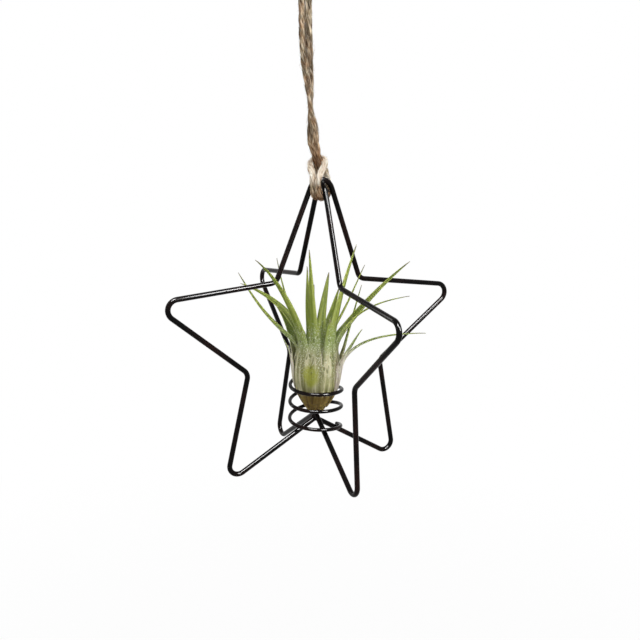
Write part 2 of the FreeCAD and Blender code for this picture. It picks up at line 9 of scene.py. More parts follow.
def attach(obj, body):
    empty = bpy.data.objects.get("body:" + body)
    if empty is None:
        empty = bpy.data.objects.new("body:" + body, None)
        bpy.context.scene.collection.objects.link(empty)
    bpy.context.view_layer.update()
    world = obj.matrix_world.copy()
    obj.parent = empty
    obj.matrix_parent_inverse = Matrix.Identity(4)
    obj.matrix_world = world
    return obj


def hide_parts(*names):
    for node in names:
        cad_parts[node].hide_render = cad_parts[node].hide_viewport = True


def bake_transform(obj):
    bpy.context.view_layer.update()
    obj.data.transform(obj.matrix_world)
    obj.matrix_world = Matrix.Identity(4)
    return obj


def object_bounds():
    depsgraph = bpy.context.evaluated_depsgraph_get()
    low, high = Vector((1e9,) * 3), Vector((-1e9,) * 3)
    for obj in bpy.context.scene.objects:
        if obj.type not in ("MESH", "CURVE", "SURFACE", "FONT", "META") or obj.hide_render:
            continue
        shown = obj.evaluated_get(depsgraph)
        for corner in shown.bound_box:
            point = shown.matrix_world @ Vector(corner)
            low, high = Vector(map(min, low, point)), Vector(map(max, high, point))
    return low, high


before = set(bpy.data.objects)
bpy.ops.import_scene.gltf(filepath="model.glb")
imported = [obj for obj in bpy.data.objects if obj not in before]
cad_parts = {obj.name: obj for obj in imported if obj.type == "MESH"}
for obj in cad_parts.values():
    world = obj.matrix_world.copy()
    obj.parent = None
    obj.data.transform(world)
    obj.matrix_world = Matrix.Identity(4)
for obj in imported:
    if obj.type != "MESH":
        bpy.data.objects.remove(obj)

cad_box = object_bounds()

# Hanging air plant holder. Lengths are in metres. Heights of the star frames, the plant and the cord are
# written from the star axis at the notch, where the two frames cross.
STAR_AXIS = Vector((0.010, 0.0, -0.242))
UP = Vector((0.0, 0.0, 1.0))
ALONG_WIDE = Vector((1.0, 0.0, 0.0))
ALONG_CROSS = Vector((0.0, 1.0, 0.0))
FULL_TURN = 2 * pi

# Star frames. A bend is its middle's reach from the axis, its middle's height, and its radius.
FRAME_WIRE = 0.0025
WELD_GAP = 0.00005
TIP_HEIGHT = 0.1083
CROSS_TIP_BEND = 0.0050
WIDE_TIP_BEND = 0.0059
NOTCH_BEND = 0.0026
SHOULDER = (0.0254, 0.0725, 0.0045)
ARM = (0.0686, 0.0585, 0.0048)
WAIST = (0.0406, 0.0239, 0.0045)
WAIST_SHIFT = 0.0030
FOOT = (0.0405, -0.0197, 0.0044)
FRAME_SIDES = 24
BEND_STEPS = 14
RUN_SHARES = (0.25, 0.5, 0.75)
# The side that the wire turns to at a bend, on the way round from the apex
LEFT = 1
RIGHT = -1

# Seat coil
COIL_WIRE = 0.0018
COIL_RADIUS = 0.0128
COIL_TOP = 0.01785
COIL_PITCH = 0.0085
COIL_LEAN = 0.0012
COIL_LEAN_SIDE = radians(334.0)
COIL_START = radians(130.0)
COIL_WELDED_AT = 3 * FULL_TURN
COIL_OVERRUN = radians(6.0)
COIL_TAIL = radians(250.0)
COIL_SIDES = 20
COIL_STEPS = 240

# Weld beads
BEAD_RADIUS = 0.0020
COIL_BEAD_RADIUS = 0.0017

# Plant
BULB_BOTTOM = 0.002675
BULB_FOOT = 0.0038
BULB_BELLY = 0.01125
BULB_BELLY_RISE = 0.0208
BULB_NECK = 0.0094
BULB_RISE = 0.0315
BELLY_HEIGHT = BULB_BOTTOM + BULB_BELLY_RISE
NECK_HEIGHT = BULB_BOTTOM + BULB_RISE
LEAF_FOOT = NECK_HEIGHT + 0.00085
LEAF_SPREAD = 0.052
LEAF_CROWN = 0.084
LEAF_HALF_WIDTH = 0.0031
LEAF_TIP_HALF_WIDTH = 0.00012
LEAF_THICK = 0.0009
SHEATH_THICK = 0.0005

# Cord
CORD = 0.0031
PLIES = 3
PLY_SIDES = 14
PLY_STEP = 0.00045
PLY_RADIUS_SHARE = 0.63
PLY_OFFSET_SHARE = 0.39
LAY_LENGTH = 0.0180
PINCH_SHARE = 0.30
PINCH_HEIGHT = STAR_AXIS.z + 0.1475
PINCH_REACH = 0.0050
KNOT_CENTER = Vector((0.0, 0.0, -0.030))

# Loose fibres on the cord, and the fewer, thicker strays that stand off further
FUZZ_PER_METRE = 3200
FUZZ_REACH = 0.0011
FUZZ_THICK = 0.00004
FUZZ_LENGTH = (0.0015, 0.0060)
FUZZ_HOOK = 0.0002
FUZZ_BED_SHARE = 0.94
FUZZ_SIDES = 3
FUZZ_STEPS = 7
FUZZ_LINE_STEP = 0.0005
STRAY_SHARE = 0.16
STRAY_REACH = 0.0022
STRAY_THICK = 0.00008
STRAY_SEED = 50

# Camera, in the picture's own angle
VIEW_AIM = 0.04895
VIEW_SIDE = 0.00106
VIEW_DISTANCE = 0.360
VIEW_AZIMUTH = radians(-26.27)
VIEW_DOWN = radians(12.55)
VIEW_ROLL = radians(1.49)
LENS = 41.82
SENSOR = 36.0


def smooth_step(low, high, value):
    share = min(max((value - low) / (high - low), 0.0), 1.0)
    return share * share * (3 - 2 * share)


def between(first, second, share):
    return first + (second - first) * share


# Meshes

END_CAP_SHARES = (0.35, 0.65, 0.85, 0.97)
END_CAP_REACH = 0.8


def add_object(name, data):
    thing = bpy.data.objects.new(name, data)
    bpy.context.scene.collection.objects.link(thing)
    return thing


class Form:
    """The rings of points that make up one piece, with what its material needs to know at each point."""

    def __init__(self):
        self.points = []
        self.faces = []
        self.marks = {"grain": [], "along": [], "across": [], "tone": [], "blush": []}

    def ring(self, points, grains, along, across, tone, blush=0.0):
        first = len(self.points)
        self.points += points
        self.marks["grain"] += grains
        self.marks["across"] += across
        for mark, value in (("along", along), ("tone", tone), ("blush", blush)):
            self.marks[mark] += [value] * len(points)
        return list(range(first, len(self.points)))

    def skin(self, rings, closed=False):
        """Faces between rings, and a face over each open end."""
        pairs = list(zip(rings, rings[1:]))
        if closed:
            pairs.append((rings[-1], rings[0]))
        count = len(rings[0])
        for low, high in pairs:
            for i in range(count):
                j = (i + 1) % count
                self.faces.append((low[i], low[j], high[j], high[i]))
        if not closed:
            self.faces.append(tuple(reversed(rings[0])))
            self.faces.append(tuple(rings[-1]))

    def build(self, name, material):
        mesh = bpy.data.meshes.new(name)
        mesh.from_pydata([tuple(point) for point in self.points], [], self.faces)
        mesh.polygons.foreach_set("use_smooth", [True] * len(mesh.polygons))
        for mark, values in self.marks.items():
            if mark == "grain":
                layer = mesh.attributes.new(mark, "FLOAT_VECTOR", "POINT")
                layer.data.foreach_set("vector", [number for value in values for number in value])
            else:
                layer = mesh.attributes.new(mark, "FLOAT", "POINT")
                layer.data.foreach_set("value", values)
        mesh.materials.append(material)
        mesh.update()
        return add_object(name, mesh)


def headings(line, closed=False):
    count = len(line)
    result = []
    for i in range(count):
        before = line[i - 1] if i or closed else line[0]
        after = line[(i + 1) % count] if i + 1 < count or closed else line[-1]
        result.append((after - before).normalized())
    return result


def carried_sides(line, closed=False):
    """The headings of a line, and a side at each point that turns no more than the line does."""
    ahead = headings(line, closed)
    side = ahead[0].orthogonal().normalized()
    sides = [side]
    for before, after in zip(ahead, ahead[1:]):
        side = before.rotation_difference(after) @ side
        side = (side - after * side.dot(after)).normalized()
        sides.append(side)
    if closed:
        back = ahead[-1].rotation_difference(ahead[0]) @ side
        slip = atan2(back.cross(sides[0]).dot(ahead[0]), back.dot(sides[0]))
        sides = [
            Quaternion(heading, slip * i / len(line)) @ side
            for i, (heading, side) in enumerate(zip(ahead, sides))
        ]
    return ahead, sides


def add_tube(form, line, radii, sides, closed=False, tone=0.5, round_ends=False, blushes=None, core=None):
    """A tube along a line; radii and blushes hold a value for each point, and core its cord's middle."""
    ahead, aside = carried_sides(line, closed)
    travelled = 0.0
    stations = []
    for i, point in enumerate(line):
        if i:
            travelled += (point - line[i - 1]).length
        blush = blushes[i] if blushes else 0.0
        middle = core[i] if core else point
        stations.append((point, ahead[i], aside[i], radii[i], travelled, blush, middle))
    if round_ends:
        stations = end_cap(stations[0], -1)[::-1] + stations + end_cap(stations[-1], 1)
    turns = [FULL_TURN * k / sides for k in range(sides)]
    rings = []
    for point, heading, side, radius, distance, blush, middle in stations:
        other = heading.cross(side)
        ring = [point + (side * cos(turn) + other * sin(turn)) * radius for turn in turns]
        grains = [(radius * cos(turn), radius * sin(turn), distance) for turn in turns]
        across = [(place - middle).length for place in ring] if core else [0.0] * sides
        rings.append(form.ring(ring, grains, distance, across, tone, blush))
    form.skin(rings, closed)


def end_cap(station, way):
    """Shrinking stations that close a tube with a rounded end."""
    point, heading, side, radius, distance, blush, middle = station
    result = []
    for share in END_CAP_SHARES:
        out = radius * END_CAP_REACH * share * way
        slim = radius * sqrt(1 - share ** 2)
        moved = heading * out
        result.append((point + moved, heading, side, slim, distance + out, blush, middle + moved))
    return result


# Materials

def new_material(name):
    material = bpy.data.materials.new(name)
    material.use_nodes = True
    tree = material.node_tree
    return material, tree, tree.nodes["Principled BSDF"]


def add_node(tree, kind, settings=None, **inputs):
    node = tree.nodes.new("ShaderNode" + kind)
    for key, value in (settings or {}).items():
        setattr(node, key, value)
    set_inputs(tree, node, **inputs)
    return node


def set_inputs(tree, node, **inputs):
    for key, value in inputs.items():
        set_input(tree, node.inputs[key.replace("_", " ")], value)


def set_input(tree, socket, value):
    if isinstance(value, bpy.types.NodeSocket):
        tree.links.new(value, socket)
    else:
        socket.default_value = value


def mark_value(tree, name, output="Fac"):
    return add_node(tree, "Attribute", {"attribute_name": name}).outputs[output]


def calc(tree, operation, first, second=0.0):
    node = add_node(tree, "Math", {"operation": operation})
    set_input(tree, node.inputs[0], first)
    set_input(tree, node.inputs[1], second)
    return node.outputs[0]


def times(tree, first, second):
    return calc(tree, "MULTIPLY", first, second)


def vector_calc(tree, operation, first, second=(0.0, 0.0, 0.0), output="Vector"):
    node = add_node(tree, "VectorMath", {"operation": operation})
    set_input(tree, node.inputs[0], first)
    set_input(tree, node.inputs[1], second)
    return node.outputs[output]


def stretched(tree, vector, share):
    """A place with its last number scaled, which draws a pattern out along the height or the grain."""
    return add_node(tree, "Mapping", Vector=vector, Scale=(1.0, 1.0, share)).outputs[0]


def noise_value(tree, vector, scale, detail=3.0, roughness=0.5):
    given = {"Vector": vector, "Scale": scale, "Detail": detail, "Roughness": roughness}
    return add_node(tree, "TexNoise", **given).outputs[0]


def spread(tree, value, low, high, new_low=0.0, new_high=1.0):
    node = add_node(tree, "MapRange", {"interpolation_type": "SMOOTHSTEP"})
    for socket, given in zip(node.inputs, (value, low, high, new_low, new_high)):
        set_input(tree, socket, given)
    return node.outputs[0]


def colors(tree, factor, stops):
    node = add_node(tree, "ValToRGB", Fac=factor)
    ramp = node.color_ramp
    while len(ramp.elements) < len(stops):
        ramp.elements.new(0.5)
    for element, (place, color) in zip(ramp.elements, stops):
        element.position = place
        element.color = (*color, 1.0)
    return node.outputs[0]


def mixed(tree, factor, first, second, mode="MIX"):
    node = add_node(tree, "Mix", {"data_type": "RGBA", "blend_type": mode})
    set_input(tree, node.inputs[0], factor)
    for socket, value in ((node.inputs[6], first), (node.inputs[7], second)):
        set_input(tree, socket, value if isinstance(value, bpy.types.NodeSocket) else (*value, 1.0))
    return node.outputs[2]


def bump(tree, shader, height, strength, distance):
    node = add_node(tree, "Bump", Height=height, Strength=strength, Distance=distance)
    tree.links.new(node.outputs[0], shader.inputs["Normal"])


def object_place(tree):
    return add_node(tree, "TexCoord").outputs["Object"]


def wire_paint(name, rough):
    """Black gloss paint on wire: faintly uneven, with a brown cast where it is thin."""
    material, tree, shader = new_material(name)
    place = object_place(tree)
    patches = noise_value(tree, place, 60.0)
    thin = noise_value(tree, place, 900.0, 4.0, 0.6)
    worn = spread(tree, thin, 0.64, 0.80)
    black = mixed(tree, worn, colors(tree, patches, DEEP_BLACK_STOPS), WORN_BLACK)
    gloss = spread(tree, thin, 0.3, 0.75, rough, rough + 0.03)
    set_inputs(tree, shader, Base_Color=black, Roughness=gloss, Specular_IOR_Level=0.06)
    bump(tree, shader, thin, 0.02, PAINT_RELIEF)
    return material


def brown_jute(tree, body, light_and_red_mark):
    """Brown jute in ruddy and matted patches; redder as the blush mark goes below 0, then darker with
    painted shade.
    """
    place = object_place(tree)
    patches = spread(tree, noise_value(tree, place, 190.0, 2.0), 0.46, 0.64, 0.0, 0.8)
    redder = calc(tree, "MAXIMUM", patches, spread(tree, light_and_red_mark, -1.0, 0.0, 1.0, 0.0))
    brown = mixed(tree, redder, colors(tree, body, BROWN_STOPS), colors(tree, body, RUDDY_STOPS))
    matted = noise_value(tree, stretched(tree, place, 0.30), 520.0, 2.0)
    shade = spread(tree, matted, 0.40, 0.60, 0.60, 1.12)
    dull = add_node(tree, "CombineColor", Red=shade, Green=shade, Blue=shade)
    brown = mixed(tree, 1.0, brown, dull.outputs[0], "MULTIPLY")
    # Painted shade: darker where the blush mark is lowest.
    low_shade = spread(tree, light_and_red_mark, -1.0, -0.6, 0.85, 0.0)
    return mixed(tree, low_shade, brown, SHADE_BROWN, "MULTIPLY")


def groove_shade(tree):
    """The warm shade between the plies, darker the nearer a point is to its cord's middle."""
    outer = spread(tree, mark_value(tree, "across"), GROOVE_DEPTH, GROOVE_TOP, GROOVE_SHADE, 1.0)
    green = calc(tree, "POWER", outer, 1.15)
    blue = calc(tree, "POWER", outer, 1.35)
    return add_node(tree, "CombineColor", Red=outer, Green=green, Blue=blue).outputs[0]


def jute_fibre():
    """Spun jute: fibres along each ply, brown, and pale with painted light where the blush mark is above 0.
    """
    material, tree, shader = new_material("jute_fibre")
    shift = add_node(tree, "CombineXYZ", Z=times(tree, mark_value(tree, "tone"), 0.37))
    grain = vector_calc(tree, "ADD", mark_value(tree, "grain", "Vector"), shift.outputs[0])
    fibre = noise_value(tree, stretched(tree, grain, 0.10), 2600.0, 3.0, 0.6)
    coarse = noise_value(tree, stretched(tree, grain, 0.22), 900.0, 2.0)
    body = calc(tree, "ADD", times(tree, fibre, 0.5), times(tree, coarse, 0.5))
    light_and_red_mark = mark_value(tree, "blush")
    pale = colors(tree, body, LIT_PALE_STOPS)
    # Painted light: the pale colours, mixed in where the blush mark is above 0.
    skin = mixed(tree, spread(tree, light_and_red_mark, 0.0, 1.0), brown_jute(tree, body, light_and_red_mark), pale)
    skin = mixed(tree, 1.0, skin, groove_shade(tree), "MULTIPLY")
    rough = spread(tree, fibre, 0.3, 0.7, 0.92, 0.68)
    set_inputs(tree, shader, Base_Color=skin, Roughness=rough, Specular_IOR_Level=0.025)
    set_inputs(tree, shader, Sheen_Weight=0.10, Sheen_Roughness=0.5)
    bump(tree, shader, body, 0.9, JUTE_RELIEF)
    return material


def blade_color(tree, young, ripe, streak, rise):
    """The blade: streaked, dark on its rib, light at its edges, silvery low down, brown at the tip."""
    across = calc(tree, "ABSOLUTE", mark_value(tree, "across"))
    blade = mixed(tree, mark_value(tree, "tone"), young, ripe)
    blade = mixed(tree, spread(tree, streak, 0.40, 0.64, 0.0, 0.7), blade, LEAF_LIGHT)
    blade = mixed(tree, spread(tree, across, 0.05, 0.60, 0.55, 0.0), blade, ripe)
    blade = mixed(tree, spread(tree, across, 0.66, 0.98, 0.0, 0.55), blade, LEAF_EDGE)
    browned = spread(tree, mark_value(tree, "along"), 0.86, 1.0, 0.0, 0.85)
    blade = mixed(tree, browned, blade, LEAF_TIP_BROWN)
    return mixed(tree, spread(tree, rise, *SILVER_TO_GREEN), SILVER_GREEN, blade)


def lime_patch(tree, place):
    """How far a place is inside the ragged lime patch on the front of the bulb."""
    middle = (LIME_PLACE[0], LIME_PLACE[1], LIME_PLACE[2] * LIME_SQUASH)
    distance = vector_calc(tree, "DISTANCE", stretched(tree, place, LIME_SQUASH), middle, "Value")
    wander = times(tree, noise_value(tree, place, 70.0, 1.0), LIME_WANDER)
    return spread(tree, calc(tree, "ADD", distance, wander), *LIME_EDGE, 0.85, 0.0)


def sheath_color(tree, broad, rise, lime):
    """The sheaths: striped and creased, papery where they are dry, brown at the root end."""
    sheath = colors(tree, broad, SHEATH_STOPS)
    sheath = mixed(tree, mark_value(tree, "blush"), sheath, colors(tree, broad, DRY_SHEATH_STOPS))
    sheath = mixed(tree, lime, sheath, LIME)
    crease = calc(tree, "ABSOLUTE", calc(tree, "SUBTRACT", broad, 0.52))
    sheath = mixed(tree, spread(tree, crease, 0.0, 0.018, 0.36, 0.0), sheath, CREASE_BROWN)
    wave = times(tree, calc(tree, "SUBTRACT", broad, 0.5), ROOT_WAVE)
    above_root = spread(tree, calc(tree, "ADD", rise, wave), *ROOT_TO_SHEATH)
    return mixed(tree, above_root, colors(tree, broad, ROOT_STOPS), sheath)


def plant_skin(name, young, ripe):
    """Sheath below and blade above, with silver scales and dark spots on a belt between them."""
    material, tree, shader = new_material(name)
    grain = mark_value(tree, "grain", "Vector")
    place = object_place(tree)
    height = add_node(tree, "SeparateXYZ", Vector=place).outputs[2]
    rise = calc(tree, "SUBTRACT", height, STAR_AXIS.z)
    streak = noise_value(tree, stretched(tree, grain, 0.045), 1500.0, 3.0, 0.6)
    broad = noise_value(tree, stretched(tree, grain, 0.10), 480.0, 2.0)
    lime = lime_patch(tree, place)
    sheath = sheath_color(tree, broad, rise, lime)
    blade = blade_color(tree, young, ripe, streak, rise)
    skin = mixed(tree, spread(tree, rise, *SHEATH_TO_BLADE), sheath, blade)

    begin = spread(tree, rise, *SCALES_BEGIN, 0.05, 1.0)
    belt = times(tree, begin, spread(tree, rise, *SCALES_END, 1.0, 0.06))
    flecks = add_node(tree, "TexVoronoi", Vector=stretched(tree, grain, 0.6), Scale=1900.0)
    scales = calc(tree, "SUBTRACT", 1.0, spread(tree, flecks.outputs["Distance"], 0.16, 0.50))
    patchy = noise_value(tree, place, 420.0, 4.0, 0.75)
    silver = times(tree, scales, spread(tree, patchy, 0.36, 0.54))
    silver = times(tree, silver, spread(tree, lime, 0.2, 0.8, 1.0, 0.3))
    silver = times(tree, silver, belt)
    skin = mixed(tree, silver, skin, SCALE_SILVER)
    spots = noise_value(tree, stretched(tree, grain, 0.35), 800.0, 1.0)
    spotted = times(tree, spread(tree, spots, 0.62, 0.70), times(tree, belt, 0.8))
    skin = mixed(tree, spotted, skin, SPOT_GREEN)

    rough = spread(tree, streak, 0.3, 0.7, 0.48, 0.66)
    set_inputs(tree, shader, Base_Color=skin, Roughness=rough, Specular_IOR_Level=0.04)
    set_inputs(tree, shader, Subsurface_Weight=0.12, Subsurface_Radius=SKIN_SCATTER, Subsurface_Scale=1.0)
    bump(tree, shader, calc(tree, "ADD", streak, times(tree, silver, 0.8)), 0.45, SKIN_RELIEF)
    return material


# Wire paint
DEEP_BLACK_STOPS = [(0.42, (0.0022, 0.0020, 0.0020)), (0.66, (0.0130, 0.0055, 0.0045))]
WORN_BLACK = (0.012, 0.009, 0.008)
PAINT_RELIEF = 0.00003
# Plant colours
LEAF_YOUNG = (0.32, 0.39, 0.07)
LEAF_RIPE = (0.135, 0.19, 0.022)
BULB_YOUNG = (0.30, 0.36, 0.10)
BULB_RIPE = (0.20, 0.27, 0.08)
LEAF_LIGHT = (0.50, 0.55, 0.13)
LEAF_EDGE = (0.47, 0.54, 0.15)
LEAF_TIP_BROWN = (0.20, 0.15, 0.10)
SILVER_GREEN = (0.30, 0.37, 0.13)
SHEATH_STOPS = [(0.34, (0.22, 0.22, 0.08)), (0.5, (0.41, 0.40, 0.185)), (0.64, (0.68, 0.64, 0.40))]
DRY_SHEATH_STOPS = [(0.36, (0.36, 0.29, 0.22)), (0.62, (0.74, 0.69, 0.58))]
SCALE_SILVER = (0.76, 0.78, 0.57)
LIME = (0.40, 0.42, 0.05)
LIME_PLACE = (0.0031, -0.0084, -0.2192)
LIME_SQUASH = 0.55
LIME_EDGE = (0.0056, 0.0082)
LIME_WANDER = 0.006
CREASE_BROWN = (0.14, 0.12, 0.05)
SPOT_GREEN = (0.12, 0.14, 0.045)
ROOT_STOPS = [(0.35, (0.115, 0.068, 0.018)), (0.62, (0.26, 0.18, 0.045))]
SKIN_SCATTER = (0.0012, 0.0016, 0.0005)
SKIN_RELIEF = 0.00022
# Heights over the notch between which the plant's skin changes
ROOT_TO_SHEATH = (0.0120, 0.0165)
ROOT_WAVE = 0.005
SHEATH_TO_BLADE = (0.0300, 0.0410)
SILVER_TO_GREEN = (0.0360, 0.0520)
SCALES_BEGIN = (0.0170, 0.0290)
SCALES_END = (0.0390, 0.0540)
# Jute colours from the dark between fibres to the fibres that stand out; the pale ones are painted light
BROWN_STOPS = [(0.38, (0.075, 0.046, 0.022)), (0.48, (0.29, 0.210, 0.120)), (0.58, (0.76, 0.64, 0.47))]
RUDDY_STOPS = [(0.38, (0.070, 0.030, 0.013)), (0.48, (0.33, 0.185, 0.092)), (0.60, (0.70, 0.51, 0.33))]
LIT_PALE_STOPS = [(0.37, (0.32, 0.18, 0.10)), (0.45, (0.80, 0.64, 0.47)), (0.55, (0.98, 0.92, 0.80))]
# Painted shade that darkens the ruddy brown where the blush mark is lowest: the hitch's bottom and where
# the legs leave the hitch
SHADE_BROWN = (0.68, 0.56, 0.46)
# Distances from the cord's middle, and what is left of the light in the grooves
GROOVE_DEPTH = 0.00085
GROOVE_TOP = 0.00135
GROOVE_SHADE = 0.46
JUTE_RELIEF = 0.00035

BLACK_WIRE = wire_paint("black_wire_paint", rough=0.10)
BLACK_WELD = wire_paint("black_weld_paint", rough=0.34)
JUTE = jute_fibre()
LEAF_SKIN = plant_skin("leaf_skin", LEAF_YOUNG, LEAF_RIPE)
BULB_SKIN = plant_skin("bulb_skin", BULB_YOUNG, BULB_RIPE)


# Star frames

Bend = namedtuple("Bend", "x z radius turn")


def tangent_run(start, end):
    """The straight run between two bends: the points (x, z) where it leaves one and meets the other."""
    across = hypot(end.x - start.x, end.z - start.z)
    heading = atan2(end.z - start.z, end.x - start.x)
    heading -= asin((end.turn * end.radius - start.turn * start.radius) / across)
    normal = (-sin(heading), cos(heading))

    def touched(bend):
        offset = bend.turn * bend.radius
        return bend.x - offset * normal[0], bend.z - offset * normal[1]

    return touched(start), touched(end)


def star_bends(tip_bend, tip_center, notch_center, waist_shift):
    """The ten bends of one frame, from the apex round by the left arm."""
    def placed(bend, side, turn, shift=0.0):
        reach, height, radius = bend
        return Bend(side * reach + shift, height, radius, turn)

    def half(side):
        return [
            placed(SHOULDER, side, RIGHT),
            placed(ARM, side, LEFT),
            placed(WAIST, side, RIGHT, waist_shift),
            placed(FOOT, side, LEFT),
        ]

    tip = Bend(0.0, tip_center, tip_bend, LEFT)
    notch = Bend(0.0, notch_center, NOTCH_BEND, RIGHT)
    return [tip] + half(-1) + [notch] + half(1)[::-1]


def star_line(bends):
    """The wire's centre line as (x, z) points: arcs at the bends, straight between them."""
    count = len(bends)
    runs = [tangent_run(bends[i], bends[(i + 1) % count]) for i in range(count)]
    line = []
    for i, (x, z, radius, turn) in enumerate(bends):
        arrive = runs[i - 1][1]
        leave, meet = runs[i]
        first = atan2(arrive[1] - z, arrive[0] - x)
        sweep = (atan2(leave[1] - z, leave[0] - x) - first) * turn % FULL_TURN * turn
        for k in range(BEND_STEPS + 1):
            angle = first + sweep * k / BEND_STEPS
            line.append((x + radius * cos(angle), z + radius * sin(angle)))
        for share in RUN_SHARES:
            line.append((between(leave[0], meet[0], share), between(leave[1], meet[1], share)))
    return line


def star_piece(name, node, bends, across):
    """A star frame's wire; across is the way its plane runs."""
    line = [STAR_AXIS + across * x + UP * z for x, z in star_line(bends)]
    form = Form()
    add_tube(form, line, [FRAME_WIRE / 2] * len(line), FRAME_SIDES, closed=True)
    piece = form.build(name, BLACK_WIRE)
    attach(piece, "holder")
    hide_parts(node)


TOUCH = (FRAME_WIRE + WELD_GAP) / 2
CROSS_APEX = TIP_HEIGHT + CROSS_TIP_BEND
WIDE_APEX = CROSS_APEX + FRAME_WIRE + WELD_GAP
wide_bends = star_bends(WIDE_TIP_BEND, WIDE_APEX - WIDE_TIP_BEND, -TOUCH - NOTCH_BEND, 0.0)
cross_bends = star_bends(CROSS_TIP_BEND, TIP_HEIGHT, TOUCH - NOTCH_BEND, WAIST_SHIFT)
star_piece("star_wire_wide", "star_frame_wide", wide_bends, ALONG_WIDE)
star_piece("star_wire_cross", "star_frame_cross", cross_bends, -ALONG_CROSS)


# Seat coil

def even_height(angle):
    drop = COIL_PITCH * (angle - COIL_START) / FULL_TURN
    return COIL_TOP - drop + COIL_LEAN * cos(angle - COIL_LEAN_SIDE)


# The coil's end rests on the wide frame's inner leg, which runs from the notch to the right foot.
NOTCH = 5
leg_leave, leg_arrive = tangent_run(wide_bends[NOTCH], wide_bends[NOTCH + 1])
leg_slope = (leg_arrive[1] - leg_leave[1]) / (leg_arrive[0] - leg_leave[0])
LEG_HEIGHT = leg_leave[1] + leg_slope * (COIL_RADIUS - leg_leave[0])
COIL_REST = LEG_HEIGHT + ((FRAME_WIRE + COIL_WIRE) / 2 + WELD_GAP) * hypot(1, leg_slope)


def coil_point(angle):
    """A point of the coil's centre line: it falls evenly, then its tail bends down to the leg."""
    height = even_height(angle)
    tail = (angle - COIL_WELDED_AT + COIL_TAIL) / COIL_TAIL
    if tail > 0:
        height -= (even_height(COIL_WELDED_AT) - COIL_REST) * tail ** 2
    return STAR_AXIS + Vector((COIL_RADIUS * cos(angle), COIL_RADIUS * sin(angle), height))


def seat_coil():
    end = COIL_WELDED_AT + COIL_OVERRUN
    line = [coil_point(between(COIL_START, end, i / COIL_STEPS)) for i in range(COIL_STEPS + 1)]
    form = Form()
    add_tube(form, line, [COIL_WIRE / 2] * len(line), COIL_SIDES, round_ends=True)
    piece = form.build("seat_coil_wire", BLACK_WIRE)
    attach(piece, "holder")
    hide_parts("plant_coil")


seat_coil()


# Weld beads

def weld_bead(name, node, center, ways, radius):
    """A small uneven bead that runs out along the wires it joins."""
    rows = 18
    columns = 28
    form = Form()
    rings = []
    for i in range(1, rows):
        tilt = pi * i / rows
        ring = []
        for k in range(columns):
            turn = FULL_TURN * k / columns
            out = Vector((sin(tilt) * cos(turn), sin(tilt) * sin(turn), -cos(tilt)))
            reach = max(abs(out.dot(way)) for way in ways) ** 6
            ripple = 0.05 * noise.noise(out * 2.3 + center * 300)
            ring.append(center + out * radius * (0.80 + 0.30 * reach + ripple))
        grains = [tuple(point - center) for point in ring]
        rings.append(form.ring(ring, grains, 0.0, [0.0] * columns, 0.5))
    form.skin(rings)
    piece = form.build(name, BLACK_WELD)
    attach(piece, "holder")
    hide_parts(node)


TIP_WELD = STAR_AXIS + UP * ((CROSS_APEX + WIDE_APEX) / 2)
COIL_WELD = STAR_AXIS + Vector((COIL_RADIUS, 0.0, (LEG_HEIGHT + COIL_REST) / 2))
LEG_WAY = Vector((1.0, 0.0, leg_slope)).normalized()
weld_bead("weld_at_notch", "notch_weld", STAR_AXIS, (ALONG_WIDE, ALONG_CROSS), BEAD_RADIUS)
weld_bead("weld_at_tip", "apex_weld", TIP_WELD, (ALONG_WIDE, ALONG_CROSS), BEAD_RADIUS)
weld_bead("weld_at_coil", "coil_weld", COIL_WELD, (LEG_WAY, ALONG_CROSS), COIL_BEAD_RADIUS)


# Cords. Each route is a given list of points from the star axis at the notch.
HITCH_ROUTE = [
    (-0.0049, 0.0014, 0.1320),
    (-0.0038, 0.0011, 0.1286),
    (-0.0022, 0.0016, 0.1246),
    (-0.0008, 0.0040, 0.1213),
    (0.0018, 0.0059, 0.1168),
    (0.0036, 0.0061, 0.1110),
    (0.0024, 0.0040, 0.1075),
    (-0.0039, -0.0013, 0.1080),
    (-0.0056, -0.0032, 0.1108),
    (-0.0060, -0.0034, 0.1160),
    (-0.0059, -0.0020, 0.1198),
    (-0.0051, 0.0023, 0.1220),
    (-0.0021, 0.0055, 0.1250),
    (0.0019, 0.0031, 0.1256),
    (0.0011, -0.0012, 0.1242),
    (-0.0013, -0.0049, 0.1214),
    (-0.0048, -0.0058, 0.1166),
    (-0.0044, -0.0055, 0.1108),
    (-0.0026, -0.0039, 0.1072),
    (0.0040, 0.0013, 0.1081),
    (0.0058, 0.0038, 0.1112),
    (0.0048, 0.0032, 0.1168),
    (0.0015, 0.0010, 0.1213),
    (-0.0021, -0.0012, 0.1244),
    (-0.0035, -0.0019, 0.1286),
    (-0.0042, -0.0019, 0.1320),
]
LEFT_LEG_ROUTE = [
    (-0.0042, -0.0019, 0.1315),
    (-0.0043, -0.0018, 0.1354),
    (-0.0049, -0.0016, 0.1400),
    (-0.0069, -0.0015, 0.1460),
    (-0.0077, -0.0016, 0.1530),
    (-0.0090, -0.0010, 0.1600),
    (-0.0101, -0.0001, 0.1675),
    (-0.0107, 0.0008, 0.1760),
    (-0.0110, 0.0013, 0.1880),
    (-0.0113, 0.0014, 0.2020),
    (-0.0114, 0.0010, 0.2090),
]
RIGHT_LEG_ROUTE = [
    (-0.0049, 0.0014, 0.1315),
    (-0.0053, 0.0018, 0.1354),
    (-0.0052, 0.0018, 0.1400),
    (-0.0058, 0.0016, 0.1460),
    (-0.0060, 0.0012, 0.1530),
    (-0.0065, 0.0007, 0.1600),
    (-0.0072, -0.0002, 0.1675),
    (-0.0080, -0.0006, 0.1760),
    (-0.0088, -0.0010, 0.1880),
    (-0.0090, -0.0010, 0.2020),
    (-0.0089, -0.0008, 0.2090),
]
